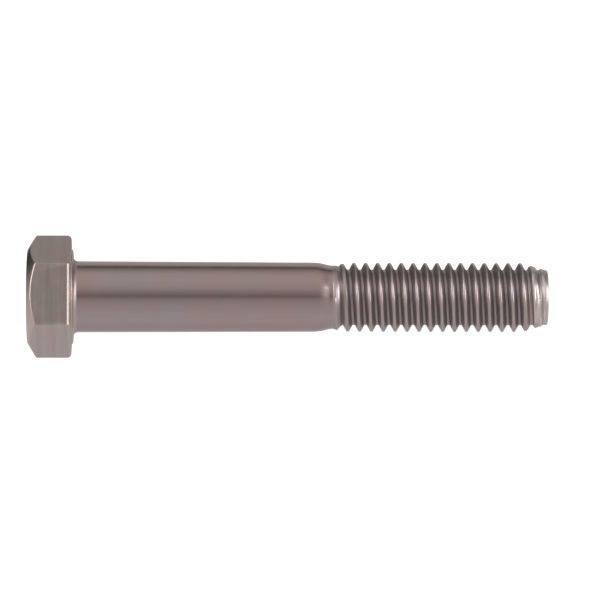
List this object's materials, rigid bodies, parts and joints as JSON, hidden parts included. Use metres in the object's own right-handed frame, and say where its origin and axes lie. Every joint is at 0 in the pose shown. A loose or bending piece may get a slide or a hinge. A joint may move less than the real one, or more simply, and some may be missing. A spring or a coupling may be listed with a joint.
{
  "type": "hex bolt",
  "caption": "Hexagon-head bolt with a washer face, a plain shank and a coarse right-hand thread on its far end, for clamping parts with a nut or in a tapped hole.",
  "frame": {"origin": "on the bolt's axis, at the centre of the flat top of its head", "axes": "+X along the axis from the head towards the point, +Z out of one wrench flat, +Y towards a corner of the hexagon; the bolt lies along X"},
  "size_m": [0.0695, 0.0164, 0.0142],
  "materials": {
    "stainless_steel": "plain, uncoated stainless steel as forged and thread-rolled: satin, warm grey, with fine drawing and forming marks"
  },
  "bodies": {
    "root": {"hex_bolt": "stainless_steel"}
  },
  "joints": []
}
